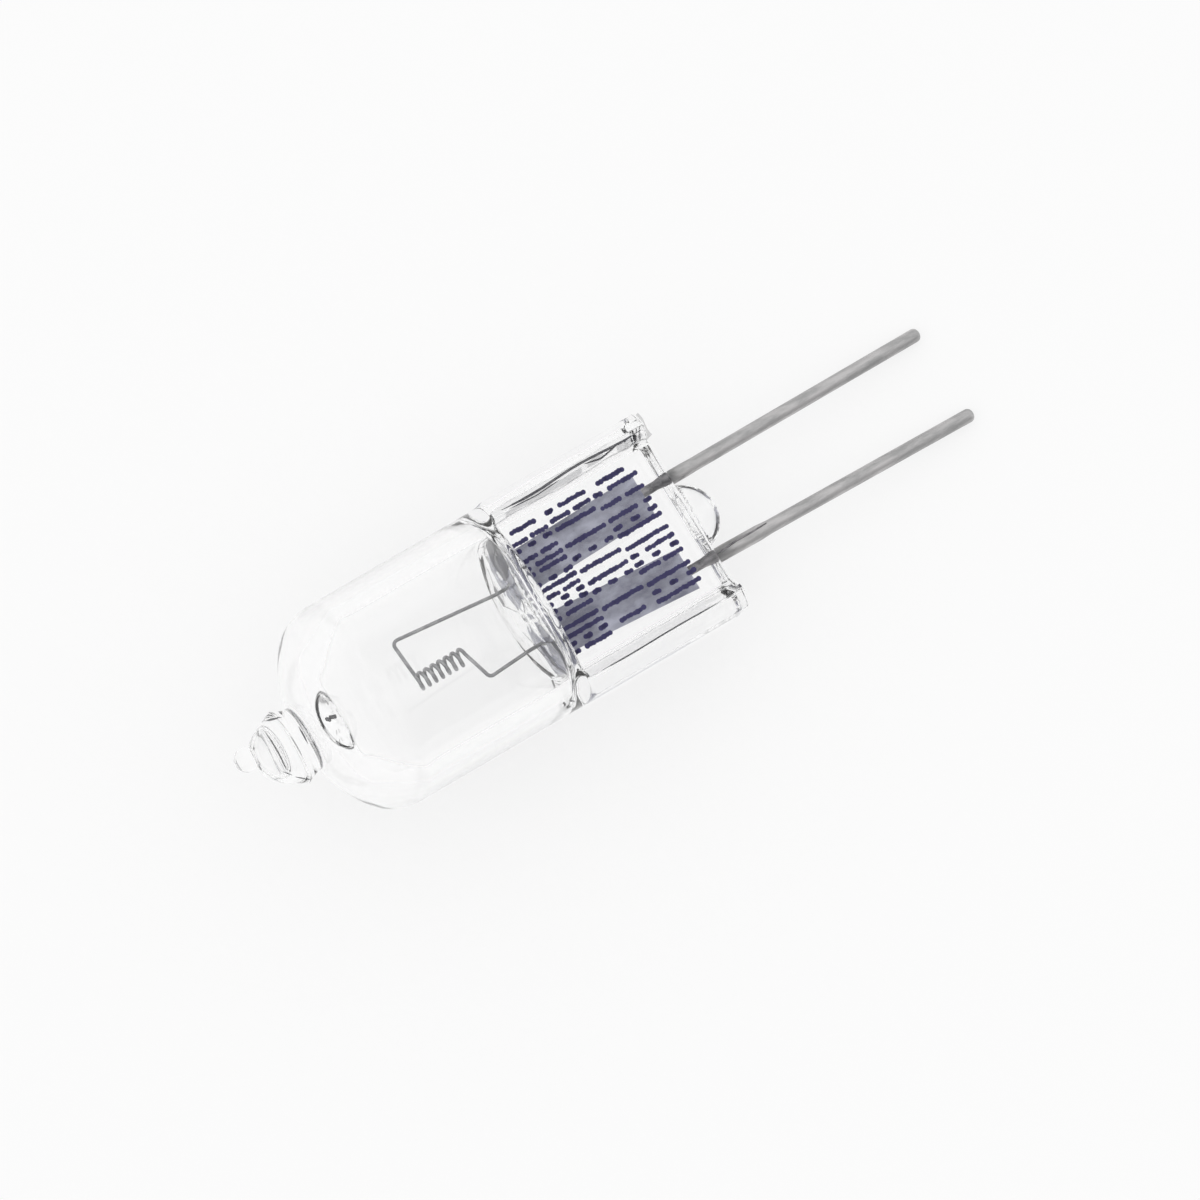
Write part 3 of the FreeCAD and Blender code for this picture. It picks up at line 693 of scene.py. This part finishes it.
def filament_route():
    """Leg, coil and leg as one route."""
    leg_z = LEAD_RADIUS - WIRE_RADIUS
    coil_z = leg_z - COIL_RADIUS
    lean = COIL_PITCH / (2 * math.pi * COIL_RADIUS)
    coil_end = COIL_START_X + COIL_TURNS * COIL_PITCH
    straight_x = FLOOR_X - LEG_FREE
    corner_x = LEG_1_CORNER_X - (LEG_1_CORNER_Y + COIL_OFFSET) * lean
    first = rounded_route([(LEG_END_X, LEG_1_Y, leg_z), (straight_x, LEG_1_Y, leg_z),
                           (corner_x, LEG_1_CORNER_Y, leg_z),
                           (COIL_START_X, -COIL_OFFSET, leg_z)], LEG_BEND)
    coil = []
    for step in range(1, COIL_TURNS * COIL_STEPS):
        angle = 2 * math.pi * step / COIL_STEPS
        coil.append(Vector((COIL_START_X + COIL_PITCH * step / COIL_STEPS,
                            -COIL_OFFSET - COIL_RADIUS * math.sin(angle),
                            coil_z + COIL_RADIUS * math.cos(angle))))
    second = rounded_route([(coil_end, -COIL_OFFSET, leg_z), (LEG_2_CORNER_X, LEG_2_CORNER_Y, leg_z),
                            (straight_x, LEG_2_Y, leg_z), (LEG_END_X, LEG_2_Y, leg_z)], LEG_BEND)
    return first + coil + second


def pin_outline(side):
    """(along, radius) of a pin from the glass to its tip."""
    length = PIN_LENGTHS[side]
    root = ROOT_LENGTHS[side]
    outline = [(-PIN_SINK, ROOT_RADII[side]), (root - ROOT_SLOPE, ROOT_RADII[side]), (root, PIN_RADIUS)]
    for along in np.linspace(root, length - PIN_ROUND, 20)[1:]:
        outline.append((along, PIN_RADIUS))
    for angle in np.radians(np.linspace(15, 90, 6)):
        outline.append((length - PIN_ROUND + PIN_ROUND * math.sin(angle),
                        PIN_RADIUS - PIN_ROUND + PIN_ROUND * math.cos(angle)))
    return outline


def pin_mesh(side):
    lean = -PIN_2_SPLAY if side == "2" else 0.0
    outline = pin_outline(side)
    path = [(along * math.cos(lean), lead_y(side) + along * math.sin(lean), 0.0)
            for along, radius in outline]
    return tube(path, [radius for along, radius in outline], 40)


def root_seam():
    """The dark seam along the root of pin 2, where it was welded to the lead."""
    y = lead_y("2")
    corners = [(0.1, y + 0.02, 0.33), (1.2, y + 0.12, 0.31), (2.1, y + 0.1, 0.3), (2.75, y + 0.13, 0.27)]
    return thread(corners, 0.045)


# Print

def print_strokes():
    """Three bands of bars on the web, each bar a run of ink dots, with no writing."""
    random.seed(PRINT_SEED)
    points, faces = [], []
    start_y, last_y = PRINT_SIDES
    for low, high, gaps in PRINT_BANDS:
        reach = high - low
        y = start_y
        while y > last_y:
            for first, last in random.choice(BARS):
                stroke_dots(points, faces, (low + reach * first, y), (low + reach * last, y))
            y -= random.choice(gaps)
    return points, faces


def stroke_dots(points, faces, start, finish):
    """Adds a run of uneven ink dots from one (x, y) to another."""
    start, finish = Vector(start), Vector(finish)
    count = max(2, round((finish - start).length / DOT_STEP))
    for step in range(count + 1):
        spot = start.lerp(finish, step / count)
        spot += Vector((random.uniform(-DOT_SCATTER, DOT_SCATTER), random.uniform(-DOT_SCATTER, DOT_SCATTER)))
        radius = random.uniform(*DOT_RADII)
        base = len(points)
        for corner in range(DOT_CORNERS):
            angle = 2 * math.pi * corner / DOT_CORNERS
            points.append((spot.x + radius * math.cos(angle), spot.y + radius * math.sin(angle),
                           WEB_HALF + INK_LIFT))
        faces.append(tuple(range(base, base + DOT_CORNERS)))


# Materials

def math_node(tree, operation, *values):
    node = tree.nodes.new("ShaderNodeMath")
    node.operation = operation
    for socket, value in zip(node.inputs, values):
        if isinstance(value, (int, float)):
            socket.default_value = value
        else:
            tree.links.new(value, socket)
    return node.outputs[0]


def map_node(tree, value, low, high, to_low=0.0, to_high=1.0):
    node = tree.nodes.new("ShaderNodeMapRange")
    node.interpolation_type = "SMOOTHSTEP"
    tree.links.new(value, node.inputs["Value"])
    for name, number in (("From Min", low), ("From Max", high), ("To Min", to_low), ("To Max", to_high)):
        node.inputs[name].default_value = number
    return node.outputs["Result"]


def principled(name, **values):
    """A material whose lone shader has the given values, its sockets' names with underscores."""
    material = bpy.data.materials.new(name)
    material.use_nodes = True
    shader = material.node_tree.nodes["Principled BSDF"]
    for socket, value in values.items():
        shader.inputs[socket.replace("_", " ")].default_value = value
    return material


def metal_material(name, dark, pale, roughness, scale, relief):
    """Worn metal: streaks of two tones along the lamp, uneven gloss and a fine relief."""
    material = principled(name, Metallic=1.0)
    tree = material.node_tree
    shader = tree.nodes["Principled BSDF"]
    spread = tree.nodes.new("ShaderNodeMapping")
    spread.inputs["Scale"].default_value = scale
    tree.links.new(tree.nodes.new("ShaderNodeTexCoord").outputs["Object"], spread.inputs["Vector"])
    streaks = tree.nodes.new("ShaderNodeTexNoise")
    streaks.inputs["Scale"].default_value = METAL_GRAIN
    streaks.inputs["Detail"].default_value = 4.0
    streaks.inputs["Roughness"].default_value = 0.65
    tree.links.new(spread.outputs["Vector"], streaks.inputs["Vector"])
    tones = tree.nodes.new("ShaderNodeValToRGB")
    tones.color_ramp.elements[0].position = 0.36
    tones.color_ramp.elements[0].color = dark + (1,)
    tones.color_ramp.elements[1].position = 0.62
    tones.color_ramp.elements[1].color = pale + (1,)
    tree.links.new(streaks.outputs["Fac"], tones.inputs["Fac"])
    tree.links.new(tones.outputs["Color"], shader.inputs["Base Color"])
    tree.links.new(map_node(tree, streaks.outputs["Fac"], 0.3, 0.7, roughness + 0.1, roughness - 0.1),
                   shader.inputs["Roughness"])
    bump = tree.nodes.new("ShaderNodeBump")
    bump.inputs["Strength"].default_value = relief
    bump.inputs["Distance"].default_value = METAL_RELIEF
    tree.links.new(streaks.outputs["Fac"], bump.inputs["Height"])
    tree.links.new(bump.outputs["Normal"], shader.inputs["Normal"])
    return material


GLASS = principled("quartz_glass", Base_Color=(1, 1, 1, 1), Transmission_Weight=0.98, IOR=1.458,
                   Roughness=0.0)
PIN_METAL = metal_material("pin_metal", dark=(0.42, 0.42, 0.42), pale=(0.55, 0.54, 0.54),
                           roughness=0.5, scale=(0.5, 3.0, 3.0), relief=0.5)
LEAD_METAL = metal_material("lead_metal", dark=(0.1, 0.1, 0.11), pale=(0.34, 0.33, 0.34),
                            roughness=0.45, scale=(1.5, 2.0, 2.0), relief=0.6)
WIRE_METAL = metal_material("tungsten_wire", dark=(0.27, 0.27, 0.28), pale=(0.4, 0.4, 0.41),
                            roughness=0.4, scale=(2.0, 2.0, 2.0), relief=0.2)
FOIL_METAL = metal_material("molybdenum_foil", dark=(0.25, 0.255, 0.33), pale=(0.46, 0.47, 0.56),
                            roughness=0.4, scale=(0.6, 1.0, 1.0), relief=0.8)
INK = principled("print_ink", Base_Color=(0.05, 0.045, 0.13, 1), Roughness=0.8)
# Painted shade: see-through dark films that stand in for dark refraction in the glass, a darker one and a
# faint one.
PAINTED_SHADE = principled("painted_refraction_shade", Base_Color=(0.06, 0.06, 0.075, 1), Roughness=0.5, Alpha=0.72)
PAINTED_FAINT_SHADE = principled("painted_faint_shade", Base_Color=(0.2, 0.2, 0.22, 1), Roughness=0.5, Alpha=0.35)


# Build

glass = new_piece("glass_envelope", *join_parts([glass_outside(), glass_inside(), bubble()]), GLASS)
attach(glass, "root")
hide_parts("envelope")

wire = new_piece("filament_wire", *tube(filament_route(), WIRE_RADIUS, 12), WIRE_METAL)
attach(wire, "root")
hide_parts("filament")

for side in ("1", "2"):
    pin = new_piece(f"round_pin_{side}", *pin_mesh(side), PIN_METAL)
    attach(pin, "root")
    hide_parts(f"contact_pin_{side}")
    for node, material in ((f"foil_{side}", FOIL_METAL), (f"inner_lead_{side}", LEAD_METAL)):
        mesh = frame["nodes"][node].data
        mesh.materials.clear()
        mesh.materials.append(material)

seam = new_piece("root_seam", *root_seam(), LEAD_METAL)
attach(seam, "root")

strokes = new_piece("print_strokes", *print_strokes(), INK, smooth=False)
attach(strokes, "root")

# Painted shade in the glass: the crescents, the threads and the faint patches stand in for dark refraction.
for name, shape, material in (("painted_refraction_shade", painted_refraction_shade(), PAINTED_SHADE), ("painted_refraction_lines", painted_refraction_lines(), PAINTED_SHADE),
                              ("painted_end_shade", join_parts([painted_end_patch(), painted_flange_band()]), PAINTED_FAINT_SHADE)):
    mark = new_piece(name, *shape, material)
    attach(mark, "root")


# Floor, camera and light

def floor():
    """White paper: mostly even white where it is looked at, with the object's own soft shadow left on it."""
    material = principled("floor_paint", Base_Color=(0.98, 0.98, 0.98, 1), Roughness=1.0,
                          Specular_IOR_Level=0.0)
    tree = material.node_tree
    path = tree.nodes.new("ShaderNodeLightPath")
    in_glass = math_node(tree, "MAXIMUM", path.outputs["Is Glossy Ray"], path.outputs["Is Transmission Ray"])
    seen = math_node(tree, "MAXIMUM", math_node(tree, "MULTIPLY", path.outputs["Is Camera Ray"], FLOOR_GLOW),
                     math_node(tree, "MULTIPLY", in_glass, FLOOR_GLOW_IN_GLASS))
    glow = tree.nodes.new("ShaderNodeEmission")
    glow.inputs["Color"].default_value = (1, 1, 1, 1)
    glow.inputs["Strength"].default_value = FLOOR_WHITE
    mix = tree.nodes.new("ShaderNodeMixShader")
    tree.links.new(seen, mix.inputs["Fac"])
    tree.links.new(tree.nodes["Principled BSDF"].outputs["BSDF"], mix.inputs[1])
    tree.links.new(glow.outputs["Emission"], mix.inputs[2])
    tree.links.new(mix.outputs["Shader"], tree.nodes["Material Output"].inputs["Surface"])
    half = FLOOR_HALF_SIZE
    mesh = bpy.data.meshes.new("floor")
    mesh.from_pydata([(-half, -half, 0), (half, -half, 0), (half, half, 0), (-half, half, 0)], [],
                     [(0, 1, 2, 3)])
    mesh.materials.append(material)
    piece = bpy.data.objects.new("floor", mesh)
    bpy.context.scene.collection.objects.link(piece)


def camera():
    """Nearly overhead, leaning towards the lower edge of the picture; the lamp's axis rises to the right."""
    back = math.cos(CAMERA_LEAN) * Vector((0, 0, 1)) - math.sin(CAMERA_LEAN) * FLOOR_UP
    glass_end = LAMP @ Vector((0, 0, 0))
    axis = (LAMP @ Vector((1, 0, 0)) - glass_end).normalized()
    axis = (axis - axis.dot(back) * back).normalized()
    right = math.cos(AXIS_ANGLE) * axis - math.sin(AXIS_ANGLE) * back.cross(axis)
    up = back.cross(right)
    target = glass_end + (right * AIM_RIGHT + up * AIM_UP) * MM
    data = bpy.data.cameras.new("camera")
    data.sensor_width = CAMERA_SENSOR
    data.lens = CAMERA_SENSOR * CAMERA_DISTANCE / VIEW_WIDTH
    data.clip_start = 0.01
    data.clip_end = 10.0
    eye = bpy.data.objects.new("camera", data)
    eye.matrix_world = Matrix.LocRotScale(target + back * CAMERA_DISTANCE,
                                          Matrix((right, up, back)).transposed(), None)
    bpy.context.scene.collection.objects.link(eye)
    bpy.context.scene.camera = eye


def world():
    """A white room, dimmer on one side, which draws the glass's edges."""
    sky = bpy.data.worlds.new("studio")
    sky.use_nodes = True
    bpy.context.scene.world = sky
    tree = sky.node_tree
    side = tree.nodes.new("ShaderNodeVectorMath")
    side.operation = "DOT_PRODUCT"
    side.inputs[1].default_value = DIM_SIDE
    tree.links.new(tree.nodes.new("ShaderNodeTexCoord").outputs["Generated"], side.inputs[0])
    dimming = map_node(tree, side.outputs["Value"], *DIM_EDGES)
    strength = math_node(tree, "MULTIPLY_ADD", dimming, SKY_DIM - SKY_BRIGHT, SKY_BRIGHT)
    background = tree.nodes["Background"]
    background.inputs["Color"].default_value = (1, 1, 1, 1)
    tree.links.new(strength, background.inputs["Strength"])


floor()
camera()
world()
bpy.context.scene.view_settings.view_transform = "Standard"
